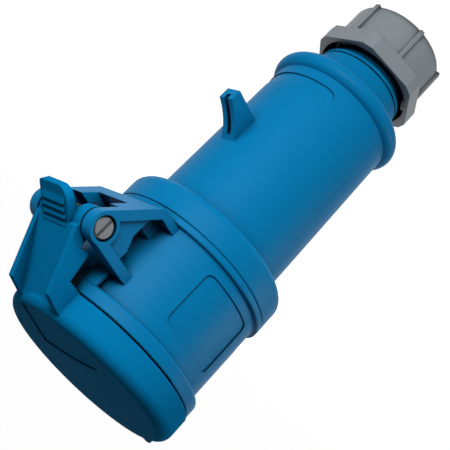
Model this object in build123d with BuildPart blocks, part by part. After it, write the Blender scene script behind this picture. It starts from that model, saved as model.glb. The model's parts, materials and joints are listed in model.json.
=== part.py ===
"""Industrial cable coupler, three poles, with a sprung hinged lid and a cable gland.

Millimetres. The origin is the centre of the gland nut's end face, +Z runs up the axis to the lid,
+X points to the hinge and the hinge pin lies along Y.
"""
import os
from math import atan2, cos, degrees, radians, sin

from build123d import *

# Fits
seam_gap = 0.4
static_gap = 0.15
running_gap = 0.05
seat_gap = 0.3
overlap = 1.0

# Heights along the axis, from the end face of the gland nut
hex_start = 14.0
hex_height = 6.0
neck_gap = 1.5
neck_length = 11.5
collar_section = 3.1
collar_step = 2.8
grip_length = 60.2
skirt_length = 9.8
rear_flange = 2.3
barrel_length = 35.4
front_flange = 4.8
lid_height = 10.0
hex_end = hex_start + hex_height
neck_end = hex_end + neck_gap
neck_start = neck_end + neck_length
collar_height = neck_start + collar_step
groove_height = collar_height + collar_step
skirt_rear = groove_height + grip_length
joint_height = skirt_rear + skirt_length
rear_flange_top = joint_height + rear_flange
seam_height = joint_height + barrel_length
front_flange_bottom = seam_height - front_flange
lid_top = seam_height + lid_height

# Outer radii and walls
barrel_radius = 28.0
flange_step = 2.4
skirt_step = 1.4
lid_overhang = 0.4
lid_edge = 3.7
shoulder_radius = 3.2
skirt_shoulder = 6.4
grip_taper = 0.9
collar_inset = 0.9
wall = 2.4
soft_edge = 0.5
flange_radius = barrel_radius + flange_step
skirt_radius = barrel_radius + skirt_step
lid_radius = flange_radius + lid_overhang
grip_large_radius = skirt_radius - skirt_shoulder
grip_small_radius = grip_large_radius - grip_taper
collar_ring_radius = grip_small_radius - collar_inset

# Hinge
hinge_reach = 13.4
hinge_drop = 14.6
boss_radius = 4.9
ear_outer = 15.2
ear_width = 4.0
strut_width = 3.2
strut_slope = 48.0
strut_rise = 0.4
foot_share = 0.85
web_recess = 1.0
root_depth = 6.5
pin_radius = 2.0
pin_head_radius = 3.2
pin_head_height = 1.4
head_clearance = 0.5
head_recess = 0.3
pin_slot = 1.1
hinge_x = barrel_radius + hinge_reach
hinge_z = seam_height - hinge_drop
ear_inner = ear_outer - ear_width

# Lid arm and finger tab
knuckle_gap = 0.8
arm_rib = 2.0
arm_reach = 5.7
arm_top_share = 0.74
arm_crest_share = 0.94
arm_chin_share = 0.6
crest_drop = 2.7
tab_slope = 29.0
tab_half_width = 6.6
tab_length = 8.6
tab_thickness = 2.6
tab_near_corner = 4.0
tab_far_corner = 1.0
tab_ridge_pitch = 2.1
tab_ridge_height = 0.6
tab_ridge_inset = 1.0
tab_ridges = 4
arm_half_width = ear_inner - knuckle_gap

# Insert and contacts
barrel_wall = 2.8
shroud_room = 5.7
insert_recess = 4.0
insert_flange = 3.0
ledge_rise = 7.4
ledge_thickness = 2.5
back_inset = 0.6
back_length = 24.0
contact_circle = 9.0
phase_bore = 2.6
earth_bore = 3.6
contact_wall = 0.8
body_step = 1.3
contact_recess = 1.0
entry_length = 2.5
bore_depth = 24.0
slit_depth = 17.0
slit_width = 0.7
band_height = 2.6
band_thickness = 0.5
block_side = 8.0
block_height = 9.0
block_inset = 2.0
wire_radius = 2.1
screw_radius = 1.6
screw_head_radius = 2.7
screw_head_height = 2.0
screw_slot = 0.7
cavity_radius = barrel_radius - barrel_wall
insert_radius = cavity_radius - shroud_room
back_radius = insert_radius - back_inset
insert_face = seam_height - insert_recess
ledge_height = joint_height + ledge_rise
insert_joint = ledge_height
flange_bottom = insert_joint - insert_flange
back_bottom = insert_joint - back_length
contact_top = insert_face - contact_recess
contact_floor = contact_top - bore_depth
slit_bottom = contact_top - slit_depth
block_bottom = back_bottom + block_inset
block_top = block_bottom + block_height

# Gland
nut_radius = 17.1
nut_wall = 2.9
nut_flats = 36.2
nut_corners = 39.6
nut_edge = 2.6
mouth_wall = 1.2
tube_wall = 2.5
tube_reach = 5.0
neck_step = 1.7
neck_taper = 1.1
seal_wall = 4.9
seal_length = 13.5
seal_lip = 1.5
opening_wall = 2.4
finger_count = 8
finger_slot = 1.2
nut_ribs = 6
rib_width = 1.6
rib_start = 1.2
rib_height = 0.9
nut_thread_radius = nut_radius - nut_wall
nut_mouth_radius = nut_flats / 2 - mouth_wall
tube_radius = nut_thread_radius - seat_gap
tube_bore = tube_radius - tube_wall
tube_end = hex_start - tube_reach
neck_radius = tube_radius + neck_step
neck_root_radius = neck_radius + neck_taper
seal_bore = tube_bore - seal_wall
seal_bottom = tube_end + seal_lip
seal_top = seal_bottom + seal_length
nut_opening = tube_bore - opening_wall


def rings(part, radius, height):
    """Circular edges of a part, round its axis, at one radius and height."""
    found = part.edges().filter_by(GeomType.CIRCLE)
    return found.filter_by(lambda e: abs(e.radius - radius) < 0.01 and abs(e.arc_center.Z - height) < 0.01)


def polar(radius, angle, height=0.0):
    """Point on a circle round the axis."""
    return (radius * cos(radians(angle)), radius * sin(radians(angle)), height)


def level_plane(radius, angle, height):
    """Level plane at a point on a circle round the axis, turned outwards."""
    return Plane(polar(radius, angle, height), x_dir=polar(1, angle), z_dir=(0, 0, 1))


def upright_plane(radius, angle, height):
    """Upright plane at a point on a circle round the axis, facing outwards."""
    return Plane(polar(radius, angle, height), z_dir=polar(1, angle))


# Lines that the hinge bracket shares with the lid
slope_x = cos(radians(strut_slope))
slope_z = sin(radians(strut_slope))
strut_foot = rear_flange_top + strut_rise
strut_start = Vector(hinge_x + boss_radius * slope_z, hinge_z - boss_radius * slope_x)
strut_run = (strut_start.Y - strut_foot - strut_width / 4) / slope_z
strut_end = strut_start - Vector(slope_x, slope_z) * strut_run
strut_inner_start = strut_start - Vector(slope_z, -slope_x) * strut_width
strut_inner_end = strut_end - Vector(slope_z, -slope_x) * strut_width
foot_top = strut_foot + strut_width * foot_share
front_strut_top = hinge_z + boss_radius - seat_gap
front_strut_bottom = front_strut_top - strut_width
root_x = barrel_radius - root_depth


def strut_point(line_start, height):
    """Point at a height on one of the two sloping lines of the rear strut."""
    return line_start - Vector(slope_x, slope_z) * ((line_start.Y - height) / slope_z)


# Front housing: barrel with two flanges, spigot, ledge and hinge bracket
skirt_wall = 2.6
spigot_gap = 0.4
spigot_wall = 2.2
spigot_length = 6.7
skirt_bore = skirt_radius - skirt_wall
spigot_radius = skirt_bore - spigot_gap
spigot_bore = spigot_radius - spigot_wall
spigot_end = joint_height - spigot_length
insert_flange_radius = spigot_bore - static_gap * 2
ledge_bore = insert_radius + static_gap * 4
rim_height = seam_height - seam_gap / 2
web_reach = 2.3
web_bend_share = 1.2
web_x = strut_inner_end.X + web_reach
web_bend = hinge_z - boss_radius * web_bend_share
web_inset = 2.1
pad_half_width = 11.6
pad_drop = 0.4
pad_bottom = front_strut_top - pad_drop
channel_half_width = 7.4
saddle_rise = 10.4
saddle_wall_rise = 8.3
saddle_front = rear_flange_top + saddle_rise
saddle_wall = rear_flange_top + saddle_wall_rise
notch_half_width = tab_half_width + static_gap * 3
notch_rise = 5.9
notch_end = rear_flange_top + notch_rise
seal_drop = 3.1
seal_height = joint_height - seal_drop
seal_groove = 2.2
keyway_width = 8.0
keyway_depth = 1.4
label_width = 23.4
label_height = 19.2
label_offset = 1.0
label_corner = 2.2
label_depth = 0.45
label_rise = 13.0
label_middle = rear_flange_top + label_rise

with BuildPart(mode=Mode.PRIVATE) as label_field:
    with BuildSketch(Plane.XZ.offset(barrel_radius + overlap)):
        with Locations((label_offset, label_middle)):
            RectangleRounded(label_width, label_height, label_corner)
    extrude(amount=-barrel_radius / 2)
    with BuildSketch(Plane.XY):
        Circle(barrel_radius - label_depth)
    extrude(amount=lid_top, mode=Mode.SUBTRACT)

with BuildPart() as front_housing:
    with BuildSketch(Plane.XZ):
        Polygon(
            (0, spigot_end), (spigot_radius, spigot_end), (spigot_radius, joint_height),
            (skirt_radius, joint_height), (skirt_radius, rear_flange_top), (barrel_radius, rear_flange_top),
            (barrel_radius, rim_height), (0, rim_height), align=None)
        with Locations((0, front_flange_bottom)):
            Rectangle(flange_radius, rim_height - front_flange_bottom, align=(Align.MIN, Align.MIN))
    revolve(axis=Axis.Z)
    fillet(rings(front_housing.part, flange_radius, rim_height), soft_edge * 0.8)
    fillet(rings(front_housing.part, flange_radius, front_flange_bottom), soft_edge * 2)
    fillet(rings(front_housing.part, skirt_radius, rear_flange_top), soft_edge)
    fillet(rings(front_housing.part, barrel_radius, rear_flange_top), soft_edge)
    chamfer(rings(front_housing.part, skirt_radius, joint_height), seat_gap)
    # Ears: a boss on two diverging struts, with a recessed web between them
    with BuildSketch(Plane.XZ.offset(ear_inner)):
        with Locations((hinge_x, hinge_z)):
            Circle(boss_radius)
        Polygon(
            (root_x, front_strut_bottom), (hinge_x, front_strut_bottom), (hinge_x, front_strut_top),
            (root_x, front_strut_top), align=None)
        Polygon(
            strut_start, strut_end, (strut_end.X - strut_width / 2, strut_foot), (root_x, strut_foot),
            (root_x, foot_top), (strut_inner_end.X, foot_top), strut_inner_start, align=None)
    extrude(amount=ear_outer - ear_inner)
    with BuildSketch(Plane.XZ.offset(ear_inner)):
        Polygon(
            (hinge_x, front_strut_bottom + soft_edge), (web_x - web_inset, front_strut_bottom + soft_edge),
            (web_x - web_inset, hinge_z - soft_edge * 4), (web_x, web_bend), (web_x, strut_inner_end.Y),
            strut_inner_start, align=None)
    extrude(amount=ear_outer - ear_inner - web_recess)
    mirror(about=Plane.XZ)
    # Saddle between the ears, notched for the finger tab, closed down to the barrel at its rear
    with BuildSketch(Plane.XZ):
        Polygon(
            strut_point(strut_start, saddle_front), strut_end, (strut_end.X - strut_width / 2, strut_foot),
            (root_x, strut_foot), (root_x, saddle_wall), strut_point(strut_inner_start, saddle_wall),
            strut_point(strut_inner_start, saddle_front), align=None)
    extrude(amount=ear_inner, both=True)
    with BuildSketch(Plane.XZ):
        with Locations((barrel_radius, notch_end)):
            Rectangle(hinge_x, boss_radius * 3, align=(Align.MIN, Align.MIN))
    extrude(amount=notch_half_width, both=True, mode=Mode.SUBTRACT)
    # Pad that widens the front flange between the ears, with a channel for the spring leg
    with BuildSketch(Plane.XY.offset(pad_bottom)):
        Circle(flange_radius)
        Rectangle(flange_radius * 2, pad_half_width * 2, mode=Mode.INTERSECT)
        with Locations((barrel_radius - overlap, 0)):
            Rectangle(
                flange_radius * 2, flange_radius * 2, align=(Align.MAX, Align.CENTER), mode=Mode.SUBTRACT)
    extrude(amount=front_flange_bottom + soft_edge - pad_bottom)
    with BuildSketch(Plane.XY.offset(pad_bottom - overlap)):
        with Locations((barrel_radius, 0)):
            Rectangle(boss_radius, channel_half_width * 2, align=(Align.MIN, Align.CENTER))
    extrude(amount=seam_height - pad_bottom, mode=Mode.SUBTRACT)
    # Inside: rear bore, ledge, contact cavity and keyway
    with BuildSketch(Plane.XZ):
        Polygon(
            (0, spigot_end), (spigot_bore, spigot_end), (spigot_bore, ledge_height),
            (ledge_bore, ledge_height), (ledge_bore, ledge_height + ledge_thickness),
            (cavity_radius, ledge_height + ledge_thickness),
            (cavity_radius, seam_height), (0, seam_height), align=None)
    revolve(axis=Axis.Z, mode=Mode.SUBTRACT)
    with BuildSketch(Plane.XY.offset(ledge_height + ledge_thickness)):
        with Locations((-cavity_radius - keyway_depth, 0)):
            Rectangle(keyway_depth * 3, keyway_width, align=(Align.MIN, Align.CENTER))
    extrude(amount=seam_height, mode=Mode.SUBTRACT)
    # Groove for the housing seal
    with BuildSketch(Plane.XZ):
        with Locations((spigot_radius, seal_height)):
            Rectangle(seal_groove, seal_groove)
    revolve(axis=Axis.Z, mode=Mode.SUBTRACT)
    # Pin holes, with a counterbore for the head in the near ear
    with BuildSketch(Plane.XZ):
        with Locations((hinge_x, hinge_z)):
            Circle(pin_radius + running_gap)
    extrude(amount=ear_outer, both=True, mode=Mode.SUBTRACT)
    with BuildSketch(Plane.XZ.offset(ear_outer)):
        with Locations((hinge_x, hinge_z)):
            Circle(pin_head_radius + head_clearance)
    extrude(amount=-pin_head_height - head_recess, mode=Mode.SUBTRACT)
    add(label_field.part, mode=Mode.SUBTRACT)

# Grip housing: skirt, tapered grip, finger hook, collar, neck and gland tube
skirt_floor = spigot_end - seat_gap
grip_bore_top = grip_large_radius - wall - seat_gap
grip_bore_bottom = grip_small_radius - wall
neck_bore = neck_radius - wall - seat_gap
neck_groove = 0.5
hook_rise = 26.7
hook_reach = 11.0
hook_rear = groove_height + hook_rise
hook_height = grip_large_radius + hook_reach
hook_base = 11.6
hook_tip = 4.0
hook_half_width = 2.8
hook_wall = 2.0
hook_floor = 2.2
hook_curve = 24.0
panel_rise = 3.9
panel_top = groove_height + panel_rise
panel_height = 11.5
panel_half_width = 15.4
panel_corner = 2.5
panel_depth = 0.45


def grip_radius(height):
    """Outer radius of the tapered grip at a height."""
    return grip_small_radius + (height - groove_height) * grip_taper / grip_length


with BuildPart(mode=Mode.PRIVATE) as grip_panel:
    with BuildSketch(Plane.YZ.offset(grip_large_radius + overlap)):
        with Locations((0, panel_top + panel_height / 2)):
            RectangleRounded(panel_half_width * 2, panel_height, panel_corner)
    extrude(amount=-grip_large_radius / 2)
    with BuildSketch(Plane.XZ):
        Polygon(
            (0, groove_height), (grip_radius(panel_top) - panel_depth, groove_height),
            (grip_radius(panel_top) - panel_depth, panel_top),
            (grip_radius(skirt_rear), panel_top + panel_height), (0, panel_top + panel_height), align=None)
    revolve(axis=Axis.Z, mode=Mode.SUBTRACT)

with BuildPart() as grip_housing:
    with BuildSketch(Plane.XZ):
        Polygon(
            (0, skirt_rear), (skirt_radius, skirt_rear), (skirt_radius, joint_height), (0, joint_height),
            align=None)
        Polygon(
            (0, groove_height), (grip_small_radius, groove_height), (grip_large_radius, skirt_rear),
            (0, skirt_rear), align=None)
        Polygon(
            (0, neck_end), (neck_radius, neck_end), (neck_root_radius, neck_start),
            (collar_ring_radius, neck_start), (collar_ring_radius, groove_height), (0, groove_height),
            align=None)
        with Locations((0, tube_end)):
            Rectangle(tube_radius, neck_end - tube_end, align=(Align.MIN, Align.MIN))
        with Locations((collar_ring_radius, collar_height)):
            Circle(collar_section)
    revolve(axis=Axis.Z)
    fillet(rings(grip_housing.part, skirt_radius, skirt_rear), shoulder_radius)
    fillet(rings(grip_housing.part, grip_large_radius, skirt_rear), soft_edge * 2)
    chamfer(rings(grip_housing.part, skirt_radius, joint_height), seat_gap)
    fillet(rings(grip_housing.part, neck_radius, neck_end), soft_edge * 1.6)
    chamfer(rings(grip_housing.part, tube_radius, tube_end), soft_edge)
    # Finger hook with a concave front and a channel down it
    with BuildSketch(Plane.XZ):
        with BuildLine():
            Polyline(
                (grip_small_radius - overlap, hook_rear + hook_base),
                (grip_small_radius - overlap, hook_rear), (hook_height, hook_rear),
                (hook_height, hook_rear + hook_tip))
            RadiusArc(
                (hook_height, hook_rear + hook_tip), (grip_small_radius - overlap, hook_rear + hook_base),
                hook_curve)
        make_face()
    extrude(amount=hook_half_width, both=True)
    with BuildSketch(Plane.XZ):
        with Locations((grip_large_radius + soft_edge, hook_rear + hook_floor)):
            Rectangle(hook_height, hook_base, align=(Align.MIN, Align.MIN))
    extrude(amount=hook_half_width - hook_wall, both=True, mode=Mode.SUBTRACT)
    add(grip_panel.part, mode=Mode.SUBTRACT)
    with BuildSketch(Plane.XZ):
        with Locations((neck_radius, neck_end + neck_groove * 4)):
            Rectangle(neck_groove * 2, neck_groove)
    revolve(axis=Axis.Z, mode=Mode.SUBTRACT)
    # Bores: skirt, grip, neck and gland tube
    with BuildSketch(Plane.XZ):
        Polygon(
            (0, skirt_floor), (skirt_bore, skirt_floor), (skirt_bore, joint_height), (0, joint_height),
            align=None)
        Polygon(
            (0, groove_height), (grip_bore_bottom, groove_height), (grip_bore_top, skirt_floor),
            (0, skirt_floor), align=None)
        Polygon(
            (0, seal_top), (tube_bore - soft_edge * 2, seal_top), (neck_bore, neck_start),
            (grip_bore_bottom, groove_height), (0, groove_height), align=None)
        Polygon((0, tube_end), (tube_bore, tube_end), (tube_bore, seal_top), (0, seal_top), align=None)
    revolve(axis=Axis.Z, mode=Mode.SUBTRACT)

# Lid: cap with a rounded edge, gasket seat, ribbed arm, knuckle and finger tab
lid_wall = 3.2
lid_rim = 2.8
gasket_width = 4.0
gasket_seat = 3.5
arm_thickness = 1.9
heel_inset = 5.5
throat_inset = 2.4
throat_rise = 7.2
panel_end_inset = 1.2
panel_end_drop = 2.0
field_depth = 0.4
field_end = 8.4
field_bow = 1.7
field_half_width = 13.6
field_root_half = 7.0
knuckle_pocket = 4.0
cover_start = 10.0
wire = 0.42
spring_half_length = 6.2
tab_front = 5.8
lid_bottom = seam_height + seam_gap / 2
lid_recess_top = lid_top - lid_wall
gasket_outer = lid_radius - lid_rim
gasket_inner = gasket_outer - gasket_width
gasket_top = seam_height + gasket_seat
arm_top = (hinge_x + boss_radius * arm_top_share, hinge_z + boss_radius * arm_crest_share)
arm_corner = (hinge_x - arm_reach, lid_top - crest_drop)
arm_root = (lid_radius - lid_edge, lid_top - crest_drop / 2)
arm_inner = (arm_corner[0] - arm_thickness, seam_height + seat_gap)
arm_heel = (hinge_x - heel_inset, hinge_z + heel_inset)
arm_throat = (hinge_x - throat_inset, hinge_z + throat_rise)
panel_end = (lid_radius - panel_end_inset, lid_top - panel_end_drop)

tab_dir = Vector(cos(radians(tab_slope)), 0, -sin(radians(tab_slope)))
tab_up = Vector(sin(radians(tab_slope)), 0, cos(radians(tab_slope)))
tab_face = Plane(Vector(hinge_x, 0, hinge_z) + tab_up * tab_front, x_dir=tab_dir, z_dir=tab_up)
tab_side = Plane(Vector(hinge_x, 0, hinge_z) + tab_up * tab_front, x_dir=tab_dir, z_dir=(0, -1, 0))

with BuildPart() as lid:
    # Arm from the cap to the hinge pin
    with BuildSketch(Plane.XZ):
        Polygon(
            (arm_root[0], lid_bottom), arm_root, arm_corner, arm_top,
            (hinge_x + boss_radius * arm_chin_share, hinge_z), (hinge_x, hinge_z), arm_throat, arm_heel,
            arm_inner, (lid_radius, lid_bottom), align=None)
    extrude(amount=arm_half_width, both=True)
    with BuildSketch(Plane.XZ):
        with Locations((hinge_x, hinge_z)):
            Circle(boss_radius)
    extrude(amount=arm_half_width, both=True)
    # Panel that falls away between the arm's two ribs, down to the cap
    with BuildSketch(Plane.XZ):
        Polygon(
            arm_top, panel_end, (panel_end[0] - lid_edge, lid_top), (arm_root[0], lid_top + lid_edge),
            (arm_top[0] + lid_edge, lid_top + lid_edge), (arm_top[0] + lid_edge, arm_top[1]), align=None)
    extrude(amount=arm_half_width - arm_rib, both=True, mode=Mode.SUBTRACT)
    # Cap
    with BuildSketch(Plane.XZ) as cap_profile:
        Polygon((0, lid_bottom), (lid_radius, lid_bottom), (lid_radius, lid_top), (0, lid_top), align=None)
        fillet(cap_profile.vertices().group_by(Axis.X)[-1].sort_by(Axis.Y)[-1], lid_edge)
        fillet(cap_profile.vertices().group_by(Axis.X)[-1].sort_by(Axis.Y)[0], soft_edge * 0.8)
    revolve(axis=Axis.Z)
    # Shallow field sunk in the top, from the foot of the arm to a bowed end
    with BuildSketch(Plane.XY.offset(lid_top - field_depth)):
        with BuildLine():
            Polyline(
                (field_end, field_half_width), (lid_radius, field_root_half), (lid_radius, -field_root_half),
                (field_end, -field_half_width))
            ThreePointArc(
                (field_end, -field_half_width), (field_end - field_bow, 0), (field_end, field_half_width))
        make_face()
    extrude(amount=field_depth * 2, mode=Mode.SUBTRACT)
    # Finger tab with ridges across it
    with BuildSketch(tab_face) as tab_outline:
        with Locations((-boss_radius / 2, 0)):
            Rectangle(tab_length + boss_radius, tab_half_width * 2, align=(Align.MIN, Align.CENTER))
        fillet(tab_outline.vertices().group_by(Axis.X)[-1].sort_by(Axis.Y)[0], tab_near_corner)
        fillet(tab_outline.vertices().group_by(Axis.X)[-1].sort_by(Axis.Y)[-1], tab_far_corner)
    extrude(amount=-tab_thickness)
    with BuildSketch(tab_side):
        for ridge in range(tab_ridges):
            start = tab_length - soft_edge - (ridge + 1) * tab_ridge_pitch
            Polygon((start, 0), (start + tab_ridge_pitch, 0), (start, tab_ridge_height), align=None)
    extrude(amount=tab_half_width - tab_ridge_inset, both=True)
    # Hollow of the cap, pin bore and spring pocket
    with BuildSketch(Plane.XZ):
        Polygon(
            (0, lid_bottom), (gasket_outer + static_gap, lid_bottom), (gasket_outer + static_gap, gasket_top),
            (gasket_inner - seam_gap * 2, gasket_top), (gasket_inner - seam_gap * 2, lid_recess_top),
            (0, lid_recess_top), align=None)
    revolve(axis=Axis.Z, mode=Mode.SUBTRACT)
    with BuildSketch(Plane.XZ):
        with Locations((hinge_x, hinge_z)):
            Circle(knuckle_pocket)
            Rectangle(
                boss_radius * 3, boss_radius * 1.5, rotation=-cover_start, align=(Align.CENTER, Align.MAX))
            Rectangle(boss_radius * 1.5, knuckle_pocket + wire * 2, align=(Align.MAX, Align.MIN))
    extrude(amount=spring_half_length, both=True, mode=Mode.SUBTRACT)
    with BuildSketch(Plane.XZ):
        with Locations((hinge_x, hinge_z)):
            Circle(pin_radius + running_gap)
    extrude(amount=ear_outer, both=True, mode=Mode.SUBTRACT)

with BuildPart() as lid_gasket:
    gasket_bottom = rim_height + seat_gap
    with BuildSketch(Plane.XY.offset(gasket_bottom)):
        Circle(gasket_outer)
        Circle(gasket_inner, mode=Mode.SUBTRACT)
    extrude(amount=gasket_top - gasket_bottom)
    fillet(lid_gasket.edges().group_by(Axis.Z)[0], soft_edge)

# Hinge pin and torsion spring
with BuildPart() as hinge_pin:
    with BuildSketch(Plane.XZ.offset(-ear_outer + head_recess)):
        with Locations((hinge_x, hinge_z)):
            Circle(pin_radius)
    extrude(amount=ear_outer * 2 - head_recess * 2 - pin_head_height)
    with BuildSketch(Plane.XZ.offset(ear_outer - head_recess - pin_head_height)):
        with Locations((hinge_x, hinge_z)):
            Circle(pin_head_radius)
    extrude(amount=pin_head_height)
    chamfer(hinge_pin.edges().group_by(Axis.Y)[0], seat_gap)
    chamfer(hinge_pin.edges().group_by(Axis.Y)[-1], seat_gap)
    with BuildSketch(Plane.XZ.offset(ear_outer)):
        with Locations((hinge_x, hinge_z)):
            Rectangle(pin_slot, pin_head_radius * 3)
    extrude(amount=-head_recess - pin_head_height / 2, mode=Mode.SUBTRACT)

coil_radius = 3.15
coil_pitch = 1.3
lid_leg_slope = 17.0
coil_count = 5.5
coil_turns = coil_count - lid_leg_slope / 360
lid_leg_length = 7.0

# Clockwise coil round the pin: one leg runs up under the lid arm, the other across to the barrel
pin_axis = Axis((hinge_x, 0, hinge_z), (0, 1, 0))
coil_start = Vector(hinge_x, -coil_pitch * coil_turns / 2, hinge_z)
with BuildLine(mode=Mode.PRIVATE):
    coil = Helix(coil_pitch, coil_pitch * coil_turns, coil_radius, center=coil_start, direction=(0, 1, 0))
coil = coil.rotate(pin_axis, lid_leg_slope)
with BuildPart() as lid_spring:
    with BuildSketch(Plane(coil @ 0, z_dir=coil % 0)):
        Circle(wire)
    sweep(path=coil)
    with BuildSketch(Plane(coil @ 0, z_dir=coil % 0)):
        Circle(wire)
    extrude(amount=-lid_leg_length)
    with BuildSketch(Plane(coil @ 1, z_dir=coil % 1)):
        Circle(wire)
    extrude(amount=hinge_x - barrel_radius - wire / 4)

# Seal between the two housings
with BuildPart() as housing_seal:
    with BuildSketch(Plane.XZ):
        with Locations(((skirt_bore + spigot_radius - seal_groove / 2) / 2, seal_height)):
            Circle((skirt_bore - spigot_radius + seal_groove / 2) / 2 - running_gap)
    revolve(axis=Axis.Z)

# Insert: front and rear halves, locking ring and fasteners
poles = {"line": (60.0, phase_bore), "neutral": (-60.0, phase_bore), "earth": (180.0, earth_bore)}
screw_circle = 12.8
screw_angles = (120.0, -120.0)
screw_bite = 8.0
screw_sink = 0.5
ring_height = 3.5
ring_notch = 3.0
ring_notches = 6
screw_top = insert_joint + screw_bite

with BuildPart() as contact_carrier:
    with BuildSketch(Plane.XY.offset(insert_joint)):
        Circle(insert_radius)
    extrude(amount=insert_face - insert_joint)
    fillet(rings(contact_carrier.part, insert_radius, insert_face), soft_edge * 2)
    for angle, bore in poles.values():
        with BuildSketch(Plane.XY.offset(insert_joint)):
            with Locations(polar(contact_circle, angle)):
                Circle(bore + contact_wall + band_thickness + seat_gap)
        extrude(amount=insert_face - entry_length - insert_joint, mode=Mode.SUBTRACT)
        with BuildSketch(Plane.XY.offset(insert_face)):
            with Locations(polar(contact_circle, angle)):
                Circle(bore + contact_wall + seat_gap)
        extrude(amount=-entry_length, mode=Mode.SUBTRACT)
    with BuildSketch(Plane.XY.offset(insert_joint)):
        for angle in screw_angles:
            with Locations(polar(screw_circle, angle)):
                Circle(screw_radius + running_gap)
    extrude(amount=screw_bite + screw_sink, mode=Mode.SUBTRACT)

with BuildPart() as carrier_back:
    with BuildSketch(Plane.XY.offset(back_bottom)):
        Circle(back_radius)
    extrude(amount=back_length)
    with BuildSketch(Plane.XY.offset(flange_bottom)):
        Circle(insert_flange_radius)
    extrude(amount=insert_flange)
    chamfer(rings(carrier_back.part, back_radius, back_bottom), soft_edge * 2)
    for angle, bore in poles.values():
        with BuildSketch(level_plane(contact_circle, angle, back_bottom)):
            Rectangle(block_side + static_gap * 2, block_side + static_gap * 2)
        extrude(amount=block_top - back_bottom, mode=Mode.SUBTRACT)
        with BuildSketch(Plane(polar(contact_circle, angle, block_top))):
            Circle(bore + contact_wall + body_step + static_gap)
        extrude(amount=insert_joint - block_top, mode=Mode.SUBTRACT)
        with BuildSketch(upright_plane(contact_circle, angle, (block_top + block_bottom) / 2)):
            Circle(screw_head_radius + seat_gap)
        extrude(amount=back_radius, mode=Mode.SUBTRACT)
    for angle in screw_angles:
        with BuildSketch(Plane(polar(screw_circle, angle, back_bottom))):
            Circle(screw_radius + static_gap)
        extrude(amount=back_length, mode=Mode.SUBTRACT)
        with BuildSketch(Plane(polar(screw_circle, angle, back_bottom))):
            Circle(screw_head_radius + static_gap)
        extrude(amount=screw_head_height + screw_sink, mode=Mode.SUBTRACT)

with BuildPart() as carrier_ring:
    with BuildSketch(Plane.XY.offset(flange_bottom)):
        Circle(insert_flange_radius)
        Circle(back_radius + seat_gap * 2, mode=Mode.SUBTRACT)
    extrude(amount=-ring_height)
    for notch in range(ring_notches):
        angle = notch * 360 / ring_notches
        with BuildSketch(Plane.XY.offset(flange_bottom - ring_height)):
            with Locations(polar(insert_flange_radius, angle)):
                Rectangle(ring_notch * 2, ring_notch, rotation=angle)
        extrude(amount=ring_notch / 2, mode=Mode.SUBTRACT)


def contact(name):
    """Split socket on a turned body, with a square terminal block below it."""
    angle, bore = poles[name]
    outer = bore + contact_wall
    with BuildPart(mode=Mode.PRIVATE) as socket:
        with BuildSketch(Plane(polar(contact_circle, angle, insert_joint))):
            Circle(outer)
        extrude(amount=contact_top - insert_joint)
        with BuildSketch(Plane(polar(contact_circle, angle, block_top))):
            Circle(outer + body_step)
        extrude(amount=insert_joint - block_top)
        with BuildSketch(level_plane(contact_circle, angle, block_bottom)):
            Rectangle(block_side, block_side)
        extrude(amount=block_top - block_bottom)
        chamfer(socket.edges().filter_by(Axis.Z), soft_edge)
        with BuildSketch(Plane(polar(contact_circle, angle, contact_floor))):
            Circle(bore)
        extrude(amount=contact_top - contact_floor, mode=Mode.SUBTRACT)
        with BuildSketch(level_plane(contact_circle, angle, slit_bottom)):
            Rectangle(outer * 3, slit_width)
            Rectangle(slit_width, outer * 3)
        extrude(amount=contact_top - slit_bottom, mode=Mode.SUBTRACT)
        with BuildSketch(Plane(polar(contact_circle, angle, block_bottom))):
            Circle(wire_radius)
        extrude(amount=block_height, mode=Mode.SUBTRACT)
        with BuildSketch(upright_plane(contact_circle, angle, (block_top + block_bottom) / 2)):
            Circle(screw_radius + running_gap)
        extrude(amount=block_side, mode=Mode.SUBTRACT)
    return socket.part


with BuildPart() as line_contact:
    add(contact("line"))
with BuildPart() as neutral_contact:
    add(contact("neutral"))
with BuildPart() as earth_contact:
    add(contact("earth"))

with BuildPart() as contact_springs:
    for angle, bore in poles.values():
        outer = bore + contact_wall + running_gap
        with BuildSketch(Plane(polar(contact_circle, angle, (slit_bottom + contact_top) / 2))):
            Circle(outer + band_thickness)
            Circle(outer, mode=Mode.SUBTRACT)
        extrude(amount=band_height)

with BuildPart() as terminal_screws:
    for angle, bore in poles.values():
        seat = contact_circle + block_side / 2
        middle = (block_top + block_bottom) / 2
        with BuildSketch(Plane(polar(seat, angle, middle), x_dir=(0, 0, 1), z_dir=polar(1, angle))):
            Circle(screw_head_radius)
        extrude(amount=screw_head_height)
        with BuildSketch(Plane(polar(seat, angle, middle), x_dir=(0, 0, 1), z_dir=polar(1, angle))):
            Circle(screw_radius)
        extrude(amount=-block_side / 2 + wire_radius)
        top = seat + screw_head_height
        with BuildSketch(Plane(polar(top, angle, middle), x_dir=(0, 0, 1), z_dir=polar(1, angle))):
            Rectangle(screw_slot, screw_head_radius * 3)
        extrude(amount=-screw_head_height / 2, mode=Mode.SUBTRACT)

with BuildPart() as carrier_screws:
    for angle in screw_angles:
        with BuildSketch(Plane(polar(screw_circle, angle, back_bottom + screw_sink))):
            Circle(screw_head_radius)
        extrude(amount=screw_head_height)
        with BuildSketch(Plane(polar(screw_circle, angle, back_bottom + screw_sink))):
            Circle(screw_radius)
        extrude(amount=screw_top - back_bottom - screw_sink)
        with BuildSketch(Plane(polar(screw_circle, angle, back_bottom + screw_sink))):
            Rectangle(screw_slot, screw_head_radius * 3)
        extrude(amount=screw_head_height / 2, mode=Mode.SUBTRACT)

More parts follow.
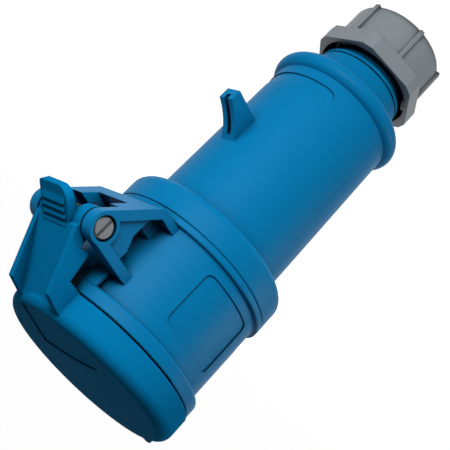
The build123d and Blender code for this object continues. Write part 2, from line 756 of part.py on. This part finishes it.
# Gland: seal, clamp fingers, slip ring and nut
cone_bottom = 2.2
cone_gap = 1.8
cone_slope = 0.55
finger_gap = 0.4
finger_wall = 1.8
cage_wall = 2.6
ring_thickness = 1.3
ring_gap = 0.6
lug_width = 5.0
lug_depth = 1.7
lug_height = 4.5
cone_top = tube_end - cone_gap
finger_outer = nut_opening + finger_gap


def cone_radius(base, height):
    """Radius at a height of one of the gland's nested cones."""
    return base + (height - cone_bottom) * cone_slope


with BuildPart() as cable_seal:
    with BuildSketch(Plane.XZ):
        Polygon(
            (seal_bore, seal_bottom), (tube_bore - static_gap, seal_bottom),
            (tube_bore - static_gap, seal_top), (seal_bore + seal_lip, seal_top),
            (seal_bore, seal_top - seal_lip * 2), align=None)
    revolve(axis=Axis.Z)

with BuildPart() as clamp_cage:
    with BuildSketch(Plane.XZ):
        Polygon(
            (finger_outer - finger_wall, cone_bottom), (finger_outer, cone_bottom),
            (cone_radius(finger_outer, cone_top), cone_top), (tube_radius - soft_edge, cone_top),
            (tube_radius - soft_edge, tube_end), (tube_bore - static_gap, tube_end),
            (tube_bore - static_gap, seal_bottom),
            (cone_radius(finger_outer, cone_top) - cage_wall, seal_bottom), align=None)
    revolve(axis=Axis.Z)
    with BuildSketch(Plane.XY.offset(cone_bottom)):
        for slot in range(finger_count // 2):
            Rectangle(tube_radius * 3, finger_slot, rotation=slot * 360 / finger_count)
    extrude(amount=cone_top - cone_bottom, mode=Mode.SUBTRACT)

with BuildPart() as pressure_ring:
    ring_inner = finger_outer + seat_gap
    ring_top = cone_top - ring_gap
    with BuildSketch(Plane.XZ):
        Polygon(
            (ring_inner, cone_bottom), (ring_inner + ring_thickness, cone_bottom),
            (cone_radius(ring_inner + ring_thickness, ring_top), ring_top),
            (cone_radius(ring_inner, ring_top), ring_top), align=None)
    revolve(axis=Axis.Z)

with BuildPart() as gland_nut:
    with BuildSketch(Plane.XY):
        Circle(nut_radius)
    extrude(amount=hex_start + hex_height / 2)
    fillet(rings(gland_nut.part, nut_radius, 0), nut_edge)
    with BuildSketch(Plane.XY.offset(hex_start)):
        RegularPolygon(nut_flats / 2, 6, major_radius=False, rotation=30)
        RegularPolygon(nut_corners / 2, 6, major_radius=False, mode=Mode.INTERSECT)
    extrude(amount=hex_height)
    with BuildSketch(Plane.XY.offset(rib_start)):
        for rib in range(nut_ribs):
            with Locations(polar(nut_radius - rib_width, rib * 360 / nut_ribs)):
                Rectangle(
                    rib_width + rib_height, rib_width, rotation=rib * 360 / nut_ribs,
                    align=(Align.MIN, Align.CENTER))
    extrude(amount=hex_start - rib_start)
    # Opening, cone over the slip ring, thread space and mouth
    nut_cone = ring_inner + ring_thickness + static_gap
    mouth_start = hex_start + neck_gap / 2
    with BuildSketch(Plane.XZ):
        Polygon(
            (0, 0), (nut_opening, 0), (nut_opening, cone_bottom), (nut_cone, cone_bottom),
            (cone_radius(nut_cone, cone_top), cone_top), (0, cone_top), align=None)
        Polygon(
            (0, cone_top), (nut_thread_radius, cone_top), (nut_thread_radius, hex_start),
            (nut_mouth_radius, mouth_start), (nut_mouth_radius, hex_end), (0, hex_end), align=None)
    revolve(axis=Axis.Z, mode=Mode.SUBTRACT)
    with BuildSketch(Plane.XY.offset(mouth_start)):
        for lug in range(nut_ribs):
            with Locations(polar(nut_mouth_radius - lug_depth, lug * 360 / nut_ribs)):
                Rectangle(
                    lug_depth + mouth_wall / 2, lug_width, rotation=lug * 360 / nut_ribs,
                    align=(Align.MIN, Align.CENTER))
    extrude(amount=lug_height)

os.makedirs("parts", exist_ok=True)
front_housing.part.label = "front_housing"
export_step(front_housing.part, "parts/front_housing.step")
grip_housing.part.label = "grip_housing"
export_step(grip_housing.part, "parts/grip_housing.step")
lid.part.label = "lid"
export_step(lid.part, "parts/lid.step")
lid_gasket.part.label = "lid_gasket"
export_step(lid_gasket.part, "parts/lid_gasket.step")
hinge_pin.part.label = "hinge_pin"
export_step(hinge_pin.part, "parts/hinge_pin.step")
lid_spring.part.label = "lid_spring"
export_step(lid_spring.part, "parts/lid_spring.step")
housing_seal.part.label = "housing_seal"
export_step(housing_seal.part, "parts/housing_seal.step")
contact_carrier.part.label = "contact_carrier"
export_step(contact_carrier.part, "parts/contact_carrier.step")
carrier_back.part.label = "carrier_back"
export_step(carrier_back.part, "parts/carrier_back.step")
carrier_ring.part.label = "carrier_ring"
export_step(carrier_ring.part, "parts/carrier_ring.step")
line_contact.part.label = "line_contact"
export_step(line_contact.part, "parts/line_contact.step")
neutral_contact.part.label = "neutral_contact"
export_step(neutral_contact.part, "parts/neutral_contact.step")
earth_contact.part.label = "earth_contact"
export_step(earth_contact.part, "parts/earth_contact.step")
contact_springs.part.label = "contact_springs"
export_step(contact_springs.part, "parts/contact_springs.step")
terminal_screws.part.label = "terminal_screws"
export_step(terminal_screws.part, "parts/terminal_screws.step")
carrier_screws.part.label = "carrier_screws"
export_step(carrier_screws.part, "parts/carrier_screws.step")
cable_seal.part.label = "cable_seal"
export_step(cable_seal.part, "parts/cable_seal.step")
clamp_cage.part.label = "clamp_cage"
export_step(clamp_cage.part, "parts/clamp_cage.step")
pressure_ring.part.label = "pressure_ring"
export_step(pressure_ring.part, "parts/pressure_ring.step")
gland_nut.part.label = "gland_nut"
export_step(gland_nut.part, "parts/gland_nut.step")
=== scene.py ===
"""Finishes, lid nose and studio for an industrial cable coupler with a hinged lid and a cable gland.

Lengths are metres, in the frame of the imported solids: the coupler stands on the end of its gland
nut, the lid is on top and the hinge is on the +X side.
"""

import json
import math

import bmesh
import bpy
from bpy.props import FloatProperty, FloatVectorProperty, PointerProperty
from mathutils import Matrix, Quaternion, Vector


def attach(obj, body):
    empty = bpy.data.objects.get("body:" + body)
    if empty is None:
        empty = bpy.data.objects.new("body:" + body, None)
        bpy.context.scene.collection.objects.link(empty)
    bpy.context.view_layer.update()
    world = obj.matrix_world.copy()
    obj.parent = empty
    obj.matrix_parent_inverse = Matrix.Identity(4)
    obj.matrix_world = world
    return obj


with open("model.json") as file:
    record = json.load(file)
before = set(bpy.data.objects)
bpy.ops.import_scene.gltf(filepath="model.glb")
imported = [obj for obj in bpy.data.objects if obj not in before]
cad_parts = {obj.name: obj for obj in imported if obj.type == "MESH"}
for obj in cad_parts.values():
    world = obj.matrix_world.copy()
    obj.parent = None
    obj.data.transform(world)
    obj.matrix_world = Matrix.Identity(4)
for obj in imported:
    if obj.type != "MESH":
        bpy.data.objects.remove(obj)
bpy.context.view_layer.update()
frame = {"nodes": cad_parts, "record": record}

bl_info = {
    "name": "Cable Coupler Finish",
    "version": (1, 0, 0),
    "blender": (4, 5, 0),
    "location": "View3D > Sidebar > Coupler",
    "description": "Moulded plastic, metal and studio light for a cable coupler",
    "category": "Object",
}

# Fixed values

SLOT_COLOURS = {m["slot"]: tuple(m["base_color"]) for m in frame["record"]["materials"]}
LID_FINISH = "blue_matt_lid_plastic"
GRAIN_SHARE = 0.45
GRAIN_ROUGHNESS = 0.55
FLOW_SCALE = 34.0
FLOW_LOW = 0.3
FLOW_HIGH = 0.7
# Painted shade in crevices: ambient occlusion where the darkening is full and where it stops, and the share
# of the colour left where it is full
PAINTED_SHADE_SHUT = 0.34
PAINTED_SHADE_OPEN = 0.85
PAINTED_SHADE_DARKEST = 0.06
FLOOR_REACH = 8
FLOOR_GREY = 0.8
FLOOR_GLOW = 0.9
LAMP_AIM = Vector((0, 0, 0.09))
CAMERA_PLACE = Vector((0.20113, -0.24710, 0.21268))
CAMERA_SIGHT = Vector((-0.58893, 0.72467, -0.35779))
CAMERA_SENSOR = 36.0
CAMERA_NEAR = 0.01


# Sizes and colours

def colour_property(name, description, default):
    return FloatVectorProperty(
        name=name, description=description, subtype="COLOR", size=3, min=0, max=1, default=default)


def length_property(name, description, default, least=0.0):
    return FloatProperty(name=name, description=description, unit="LENGTH", min=least, default=default)


def factor_property(name, description, default):
    return FloatProperty(name=name, description=description, subtype="FACTOR", min=0, max=1, default=default)


def power_property(name, description, default):
    return FloatProperty(name=name, description=description, unit="POWER", min=0, default=default)


def angle_property(name, description, degrees):
    return FloatProperty(
        name=name, description=description, unit="ROTATION", default=math.radians(degrees))


class CouplerColours(bpy.types.PropertyGroup):
    housing: colour_property("Housing", "Blue of the barrel, the grip and the lid", (0.001, 0.182, 0.412))
    nut: colour_property("Gland nut", "Grey of the gland nut and its clamp", (0.187, 0.216, 0.234))
    insert: colour_property("Insert", "Dark plastic that holds the contacts", SLOT_COLOURS["insert"])
    seal: colour_property("Seals", "Rubber of the gasket and the seals", SLOT_COLOURS["rubber"])
    pin: colour_property("Hinge pin", "Steel of the slotted hinge pin", (0.105, 0.115, 0.122))
    # Near black in part as painted shade: the springs stand in for the dark inside of the hinge
    spring: colour_property("Springs", "Blackened wire of the springs", (0.012, 0.013, 0.015))
    steel: colour_property("Small steel parts", "Screws of the insert", SLOT_COLOURS["screw"])
    brass: colour_property("Contacts", "Metal of the three sockets", SLOT_COLOURS["contact"])


class CouplerFinish(bpy.types.PropertyGroup):
    grain: length_property("Grain", "Width of one grain of the moulded surface", 0.00042, least=0.0001)
    grain_depth: length_property("Grain depth", "Depth of the moulded grain", 0.00002)
    edge_radius: length_property("Edge radius", "Softness of the moulded edges", 0.0005)
    # Painted shade: crevices up to these sizes get a darker colour
    painted_shade_size: length_property("Crevice size", "Size of the crevices that darken the blue plastic", 0.011)
    nut_painted_shade_size: length_property("Nut crevice size", "Size of the crevices that darken the nut", 0.0055)
    roughness: factor_property("Roughness", "Roughness of the blue plastic", 0.42)
    lid_roughness: factor_property("Lid roughness", "Roughness of the matt lid", 0.6)


class CouplerNose(bpy.types.PropertyGroup):
    width: length_property("Nose width", "Width of the nose along the lid's rim", 0.0026, least=0.0001)
    height: length_property("Nose height", "Height of the nose along the axis", 0.0014, least=0.0001)
    level: length_property("Nose level", "Middle of the nose above the end of the gland nut", 0.1528)
    inside: length_property("Nose root", "Radius at which the nose starts in the lid", 0.0285)
    reach: length_property("Nose reach", "Radius to which the nose stands out", 0.0310)
    azimuth: angle_property("Nose place", "Place of the nose round the axis, off the hinge", -165)
    edge: length_property("Nose edge", "Radius of the edges of the nose", 0.0003)


class CouplerStudio(bpy.types.PropertyGroup):
    key_power: power_property("Key light", "Power of the large soft light", 1.25)
    rim_power: power_property("Rim light", "Power of the light that draws the far edge", 0.27)
    back_power: power_property("Back light", "Power of the light behind the coupler", 0.4)
    fill: FloatProperty(name="Fill", description="Level of the light from all round", min=0, default=0.105)
    lens: FloatProperty(name="Lens", description="Focal length of the camera in millimetres",
                        subtype="DISTANCE_CAMERA", min=10, default=88.0)
    roll: angle_property("Roll", "Turn of the camera about its line of sight", 136.3)


# Node building

def add_node(tree, kind, place, **values):
    """A node with its settings and the values of its inputs, with _ for a space in an input's name."""
    made = tree.nodes.new(kind)
    made.location = place
    for key, value in values.items():
        if hasattr(made, key):
            setattr(made, key, value)
        else:
            made.inputs[key.replace("_", " ")].default_value = value
    return made


def add_math(tree, place, operation, first=None, second=None):
    """A Math node, with the values of the inputs that aren't linked."""
    made = add_node(tree, "ShaderNodeMath", place, operation=operation)
    for socket, value in zip(made.inputs, (first, second)):
        if value is not None:
            socket.default_value = value
    return made


def new_group(name, inputs, outputs):
    """An empty shader group with named sockets, and its two end nodes."""
    tree = bpy.data.node_groups.new(name, "ShaderNodeTree")
    kinds = {"f": "NodeSocketFloat", "c": "NodeSocketColor", "v": "NodeSocketVector"}
    for socket, kind in inputs:
        tree.interface.new_socket(socket, in_out="INPUT", socket_type=kinds[kind])
    for socket, kind in outputs:
        tree.interface.new_socket(socket, in_out="OUTPUT", socket_type=kinds[kind])
    start = add_node(tree, "NodeGroupInput", (-900, 0))
    end = add_node(tree, "NodeGroupOutput", (700, 0))
    return tree, start, end


def moulded_group():
    """Spark-textured plastic: a fine grain, with slow changes of shade and gloss."""
    name = "moulded surface"
    if name in bpy.data.node_groups:
        return bpy.data.node_groups[name]
    tree, start, end = new_group(
        name,
        (("Vector", "v"), ("Colour", "c"), ("Shade", "f"), ("Grain", "f"), ("Roughness", "f"),
         ("Spread", "f")),
        (("Colour", "c"), ("Roughness", "f"), ("Height", "f")))
    link = tree.links.new
    pitch = add_math(tree, (-700, -200), "DIVIDE", first=1.0)
    link(start.outputs["Grain"], pitch.inputs[1])
    grain = add_node(tree, "ShaderNodeTexNoise", (-500, -200), Detail=2.0, Roughness=GRAIN_ROUGHNESS)
    link(start.outputs["Vector"], grain.inputs["Vector"])
    link(pitch.outputs[0], grain.inputs["Scale"])
    flow = add_node(tree, "ShaderNodeTexNoise", (-500, 200), Scale=FLOW_SCALE, Detail=3.0)
    link(start.outputs["Vector"], flow.inputs["Vector"])
    # Shade: the slow pattern with a little of the grain in it
    both = add_node(tree, "ShaderNodeMix", (-300, 200), data_type="FLOAT")
    both.inputs[0].default_value = GRAIN_SHARE
    link(flow.outputs["Fac"], both.inputs[2])
    link(grain.outputs["Fac"], both.inputs[3])
    swing = add_node(tree, "ShaderNodeMapRange", (-100, 200), From_Min=FLOW_LOW, From_Max=FLOW_HIGH)
    low = add_math(tree, (-300, 0), "SUBTRACT", first=1.0)
    high = add_math(tree, (-300, -60), "ADD", first=1.0)
    link(start.outputs["Shade"], low.inputs[1])
    link(start.outputs["Shade"], high.inputs[1])
    link(both.outputs[0], swing.inputs["Value"])
    link(low.outputs[0], swing.inputs["To Min"])
    link(high.outputs[0], swing.inputs["To Max"])
    scaled = add_node(tree, "ShaderNodeVectorMath", (150, 200), operation="SCALE")
    link(start.outputs["Colour"], scaled.inputs[0])
    link(swing.outputs["Result"], scaled.inputs["Scale"])
    # Gloss: the same pattern, centred on nought, moves the roughness
    centred = add_math(tree, (-100, -100), "SUBTRACT", second=0.5)
    spread = add_math(tree, (100, -100), "MULTIPLY")
    gloss = add_math(tree, (300, -100), "ADD")
    link(both.outputs[0], centred.inputs[0])
    link(centred.outputs[0], spread.inputs[0])
    link(start.outputs["Spread"], spread.inputs[1])
    link(start.outputs["Roughness"], gloss.inputs[0])
    link(spread.outputs[0], gloss.inputs[1])
    link(scaled.outputs[0], end.inputs["Colour"])
    link(gloss.outputs[0], end.inputs["Roughness"])
    link(grain.outputs["Fac"], end.inputs["Height"])
    return tree


def edge_group():
    """Normals softened along the edges of the solids."""
    name = "soft edges"
    if name in bpy.data.node_groups:
        return bpy.data.node_groups[name]
    tree, start, end = new_group(name, (("Radius", "f"),), (("Normal", "v"),))
    bevel = add_node(tree, "ShaderNodeBevel", (0, 0), samples=6)
    tree.links.new(start.outputs["Radius"], bevel.inputs["Radius"])
    tree.links.new(bevel.outputs["Normal"], end.inputs["Normal"])
    return tree


def paint_crevice_shade(tree, colour, target, size):
    """Paints shade into a colour: darkens it where other surfaces stand close by, as in crevices."""
    nearby = add_node(tree, "ShaderNodeAmbientOcclusion", (0, 300), samples=8, Distance=size)
    level = add_node(tree, "ShaderNodeMapRange", (200, 300), From_Min=PAINTED_SHADE_SHUT,
                     From_Max=PAINTED_SHADE_OPEN, To_Min=PAINTED_SHADE_DARKEST)
    darker = add_node(tree, "ShaderNodeVectorMath", (400, 300), operation="SCALE")
    tree.links.new(nearby.outputs["AO"], level.inputs["Value"])
    tree.links.new(colour, darker.inputs[0])
    tree.links.new(level.outputs["Result"], darker.inputs["Scale"])
    tree.links.new(darker.outputs[0], target)


# Materials

def new_material(name):
    """A material with a bare Principled shader."""
    mat = bpy.data.materials.new(name)
    mat.use_nodes = True
    tree = mat.node_tree
    tree.nodes.clear()
    out = add_node(tree, "ShaderNodeOutputMaterial", (900, 0))
    shader = add_node(tree, "ShaderNodeBsdfPrincipled", (600, 0))
    tree.links.new(shader.outputs["BSDF"], out.inputs["Surface"])
    return mat, tree, shader


def surface_material(name, colour, roughness, shade=0.05, spread=0.25, grain=0.0004, depth=0.00001,
                     radius=0.0003, metal=0.0, specular=0.5, stretch=(1, 1, 1), painted_shade_size=0.0):
    """Material of one finish, built on the shared groups.

    shade and spread say how far colour and roughness swing, grain and depth give the size of a grain,
    radius softens the edges, stretch draws the grain out, and crevices of the given size get painted shade.
    """
    mat, tree, shader = new_material(name)
    link = tree.links.new
    place = add_node(tree, "ShaderNodeTexCoord", (-600, 0))
    turn = add_node(tree, "ShaderNodeMapping", (-400, 0), Scale=stretch)
    link(place.outputs["Object"], turn.inputs["Vector"])
    surface = add_node(
        tree, "ShaderNodeGroup", (-150, 0), node_tree=moulded_group(), Colour=(*colour, 1), Shade=shade,
        Grain=grain, Roughness=roughness, Spread=spread)
    link(turn.outputs["Vector"], surface.inputs["Vector"])
    edges = add_node(tree, "ShaderNodeGroup", (-150, -300), node_tree=edge_group(), Radius=radius)
    bump = add_node(tree, "ShaderNodeBump", (300, -250), Strength=1.0, Distance=depth)
    link(surface.outputs["Height"], bump.inputs["Height"])
    link(edges.outputs["Normal"], bump.inputs["Normal"])
    # Painted shade: the colour is darkened in crevices
    if painted_shade_size:
        paint_crevice_shade(tree, surface.outputs["Colour"], shader.inputs["Base Color"], painted_shade_size)
    else:
        link(surface.outputs["Colour"], shader.inputs["Base Color"])
    link(surface.outputs["Roughness"], shader.inputs["Roughness"])
    link(bump.outputs["Normal"], shader.inputs["Normal"])
    shader.inputs["Metallic"].default_value = metal
    shader.inputs["Specular IOR Level"].default_value = specular
    return mat


def finish_nodes(mat, *names):
    """Gives CAD nodes one material."""
    for name in names:
        mesh = frame["nodes"][name].data
        mesh.materials.clear()
        mesh.materials.append(mat)


# Operators

class COUPLER_OT_housing(bpy.types.Operator):
    """Moulded blue plastic on the barrel, the grip and the lid"""
    bl_idname = "coupler.housing"
    bl_label = "Housing and lid"

    def execute(self, context):
        colours, finish = context.scene.coupler_colours, context.scene.coupler_finish
        blue = surface_material(
            "blue_moulded_plastic", colours.housing, finish.roughness, shade=0.05, spread=0.3,
            grain=finish.grain, depth=finish.grain_depth, radius=finish.edge_radius, specular=0.04,
            painted_shade_size=finish.painted_shade_size)
        matt = surface_material(
            LID_FINISH, colours.housing, finish.lid_roughness, shade=0.06, spread=0.2,
            grain=finish.grain, depth=finish.grain_depth, radius=finish.edge_radius, specular=0.003,
            painted_shade_size=finish.painted_shade_size)
        finish_nodes(blue, "front_housing", "grip_housing")
        finish_nodes(matt, "lid")
        return {"FINISHED"}


class COUPLER_OT_nose(bpy.types.Operator):
    """Small nose on the rim of the lid, opposite the hinge"""
    bl_idname = "coupler.nose"
    bl_label = "Nose of the lid"

    def execute(self, context):
        nose = context.scene.coupler_nose
        bm = bmesh.new()
        bmesh.ops.create_cube(bm, size=1)
        bmesh.ops.scale(bm, vec=(nose.reach - nose.inside, nose.width, nose.height), verts=bm.verts)
        middle = ((nose.reach + nose.inside) / 2, 0, nose.level)
        bmesh.ops.translate(bm, vec=middle, verts=bm.verts)
        bmesh.ops.bevel(
            bm, geom=bm.edges, offset=nose.edge, segments=3, profile=0.5, material=-1, affect="EDGES")
        turn = Matrix.Rotation(nose.azimuth, 3, "Z")
        bmesh.ops.rotate(bm, cent=(0, 0, 0), matrix=turn, verts=bm.verts)
        mesh = bpy.data.meshes.new("lid_nose")
        bm.to_mesh(mesh)
        bm.free()
        mesh.materials.append(bpy.data.materials[LID_FINISH])
        piece = bpy.data.objects.new("lid_nose", mesh)
        context.scene.collection.objects.link(piece)
        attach(piece, "cap")
        return {"FINISHED"}


class COUPLER_OT_hinge(bpy.types.Operator):
    """Brushed steel on the hinge pin, and near-black wire on the springs that partly paints the shade inside
    the hinge
    """
    bl_idname = "coupler.hinge"
    bl_label = "Hinge pin and springs"

    def execute(self, context):
        colours = context.scene.coupler_colours
        pin = surface_material(
            "brushed_pin_steel", colours.pin, roughness=0.4, shade=0.25, spread=0.3, grain=0.0006,
            depth=0.00001, radius=0.0002, metal=0.6, stretch=(6, 1, 1))
        # Near-black wire, dark in part as painted shade inside the hinge
        wire = surface_material(
            "blackened_spring_wire", colours.spring, roughness=0.5, shade=0.12, spread=0.2, grain=0.0003,
            depth=0.000004, radius=0.0001, metal=0.3, specular=0.2)
        finish_nodes(pin, "hinge_pin")
        finish_nodes(wire, "lid_spring", "contact_springs")
        return {"FINISHED"}


class COUPLER_OT_insert(bpy.types.Operator):
    """Dark plastic, brass and screws of the contact insert"""
    bl_idname = "coupler.insert"
    bl_label = "Contact insert"

    def execute(self, context):
        colours = context.scene.coupler_colours
        dark = surface_material(
            "dark_insert_plastic", colours.insert, roughness=0.5, shade=0.1, spread=0.2, grain=0.0005,
            depth=0.00001)
        brass = surface_material(
            "turned_contact_brass", colours.brass, roughness=0.28, shade=0.1, spread=0.25, grain=0.0008,
            depth=0.000004, radius=0.00015, metal=1.0, stretch=(1, 1, 8))
        screw = surface_material(
            "plated_screw_steel", colours.steel, roughness=0.3, shade=0.12, spread=0.25, grain=0.0005,
            depth=0.000005, radius=0.00015, metal=1.0)
        finish_nodes(dark, "contact_carrier", "carrier_back", "carrier_ring")
        finish_nodes(brass, "line_contact", "neutral_contact", "earth_contact")
        finish_nodes(screw, "terminal_screws", "carrier_screws")
        return {"FINISHED"}


class COUPLER_OT_gland(bpy.types.Operator):
    """Grey plastic and rubber of the cable gland and the seals"""
    bl_idname = "coupler.gland"
    bl_label = "Cable gland and seals"

    def execute(self, context):
        colours, finish = context.scene.coupler_colours, context.scene.coupler_finish
        grey = surface_material(
            "grey_moulded_plastic", colours.nut, roughness=0.5, shade=0.06, spread=0.25,
            grain=finish.grain, depth=finish.grain_depth, radius=finish.edge_radius,
            painted_shade_size=finish.nut_painted_shade_size)
        rubber = surface_material(
            "seal_rubber", colours.seal, roughness=0.75, shade=0.15, spread=0.2, grain=0.0003,
            depth=0.00001, specular=0.3)
        finish_nodes(grey, "gland_nut", "clamp_cage", "pressure_ring")
        finish_nodes(rubber, "lid_gasket", "housing_seal", "cable_seal")
        return {"FINISHED"}


class COUPLER_OT_stage(bpy.types.Operator):
    """White floor, soft lights and the camera"""
    bl_idname = "coupler.stage"
    bl_label = "Studio"

    def execute(self, context):
        studio = context.scene.coupler_studio
        context.scene.view_settings.view_transform = "Standard"
        make_floor()
        make_world(context.scene, studio.fill)
        make_lamp("key_light", studio.key_power, azimuth=-26, distance=0.38, height=0.052, size=(0.28, 0.07))
        make_lamp("rim_light", studio.rim_power, azimuth=-140, distance=0.3, height=0.03, size=(0.16, 0.05))
        make_lamp("back_light", studio.back_power, azimuth=129, distance=0.4, height=0.06, size=(0.2, 0.1))
        make_camera(context.scene, studio)
        return {"FINISHED"}


# Studio

def make_floor():
    """Pale floor that takes the coupler's shadow and looks white to the camera."""
    bm = bmesh.new()
    bmesh.ops.create_grid(bm, x_segments=1, y_segments=1, size=FLOOR_REACH)
    mesh = bpy.data.meshes.new("floor")
    bm.to_mesh(mesh)
    bm.free()
    floor = bpy.data.objects.new("floor", mesh)
    bpy.context.scene.collection.objects.link(floor)
    mat, tree, shader = new_material("studio_floor")
    shader.inputs["Base Color"].default_value = (FLOOR_GREY, FLOOR_GREY, FLOOR_GREY, 1)
    shader.inputs["Roughness"].default_value = 0.9
    shader.inputs["Specular IOR Level"].default_value = 0.0
    shader.inputs["Emission Color"].default_value = (1, 1, 1, 1)
    glow = add_math(tree, (300, -400), "MULTIPLY", second=FLOOR_GLOW)
    tree.links.new(seen_rays(tree).outputs[0], glow.inputs[0])
    tree.links.new(glow.outputs[0], shader.inputs["Emission Strength"])
    mesh.materials.append(mat)


def seen_rays(tree):
    """1 for rays that see the background, straight or in gloss or glass, and 0 for the rest."""
    path = add_node(tree, "ShaderNodeLightPath", (-500, -400))
    gloss = add_math(tree, (-250, -400), "MAXIMUM")
    seen = add_math(tree, (0, -400), "MAXIMUM")
    tree.links.new(path.outputs["Is Camera Ray"], gloss.inputs[0])
    tree.links.new(path.outputs["Is Glossy Ray"], gloss.inputs[1])
    tree.links.new(gloss.outputs[0], seen.inputs[0])
    tree.links.new(path.outputs["Is Transmission Ray"], seen.inputs[1])
    return seen


def make_world(scene, fill):
    """White background that lights the coupler only at the level of the fill."""
    world = bpy.data.worlds.new("studio")
    scene.world = world
    world.use_nodes = True
    tree = world.node_tree
    tree.nodes.clear()
    out = add_node(tree, "ShaderNodeOutputWorld", (600, 0))
    light = add_node(tree, "ShaderNodeBackground", (400, 0), Color=(1, 1, 1, 1))
    level = add_node(tree, "ShaderNodeMapRange", (200, -200), To_Min=fill, To_Max=1.0)
    tree.links.new(seen_rays(tree).outputs[0], level.inputs["Value"])
    tree.links.new(level.outputs["Result"], light.inputs["Strength"])
    tree.links.new(light.outputs[0], out.inputs["Surface"])


def make_lamp(name, power, azimuth, distance, height, size):
    """Rectangular soft light at an azimuth off +X in degrees, aimed a little above the coupler's middle."""
    data = bpy.data.lights.new(name, "AREA")
    data.shape = "RECTANGLE"
    data.size, data.size_y = size
    data.energy = power
    lamp = bpy.data.objects.new(name, data)
    bpy.context.scene.collection.objects.link(lamp)
    turn = math.radians(azimuth)
    lamp.location = (math.cos(turn) * distance, math.sin(turn) * distance, height)
    lamp.rotation_mode = "QUATERNION"
    lamp.rotation_quaternion = (lamp.location - LAMP_AIM).to_track_quat("Z", "Y")
    lamp.visible_camera = False


def make_camera(scene, studio):
    """Camera of the main view, turned about its line of sight."""
    data = bpy.data.cameras.new("camera")
    data.lens = studio.lens
    data.sensor_width = CAMERA_SENSOR
    data.clip_start = CAMERA_NEAR
    camera = bpy.data.objects.new("camera", data)
    scene.collection.objects.link(camera)
    camera.location = CAMERA_PLACE
    camera.rotation_mode = "QUATERNION"
    camera.rotation_quaternion = (
        Quaternion(CAMERA_SIGHT, studio.roll) @ CAMERA_SIGHT.to_track_quat("-Z", "Y"))
    scene.camera = camera


# Panel and registration

class COUPLER_PT_panel(bpy.types.Panel):
    """Sizes, colours and steps of the coupler"""
    bl_label = "Cable coupler"
    bl_space_type = "VIEW_3D"
    bl_region_type = "UI"
    bl_category = "Coupler"

    def draw(self, context):
        layout = self.layout
        for step in STEPS:
            layout.operator(step.bl_idname)
        scene = context.scene
        for group in (scene.coupler_colours, scene.coupler_finish, scene.coupler_nose, scene.coupler_studio):
            box = layout.box()
            for key in group.__annotations__:
                box.prop(group, key)


STEPS = (COUPLER_OT_housing, COUPLER_OT_nose, COUPLER_OT_hinge, COUPLER_OT_insert, COUPLER_OT_gland,
         COUPLER_OT_stage)
GROUPS = (CouplerColours, CouplerFinish, CouplerNose, CouplerStudio)


def register():
    for kind in (*GROUPS, *STEPS, COUPLER_PT_panel):
        bpy.utils.register_class(kind)
    bpy.types.Scene.coupler_colours = PointerProperty(type=CouplerColours)
    bpy.types.Scene.coupler_finish = PointerProperty(type=CouplerFinish)
    bpy.types.Scene.coupler_nose = PointerProperty(type=CouplerNose)
    bpy.types.Scene.coupler_studio = PointerProperty(type=CouplerStudio)


def unregister():
    del bpy.types.Scene.coupler_studio
    del bpy.types.Scene.coupler_nose
    del bpy.types.Scene.coupler_finish
    del bpy.types.Scene.coupler_colours
    for kind in reversed((*GROUPS, *STEPS, COUPLER_PT_panel)):
        bpy.utils.unregister_class(kind)


def main():
    """Dresses the coupler and sets up the studio."""
    register()
    bpy.ops.coupler.housing()
    bpy.ops.coupler.nose()
    bpy.ops.coupler.hinge()
    bpy.ops.coupler.insert()
    bpy.ops.coupler.gland()
    bpy.ops.coupler.stage()


if __name__ == "__main__":
    main()
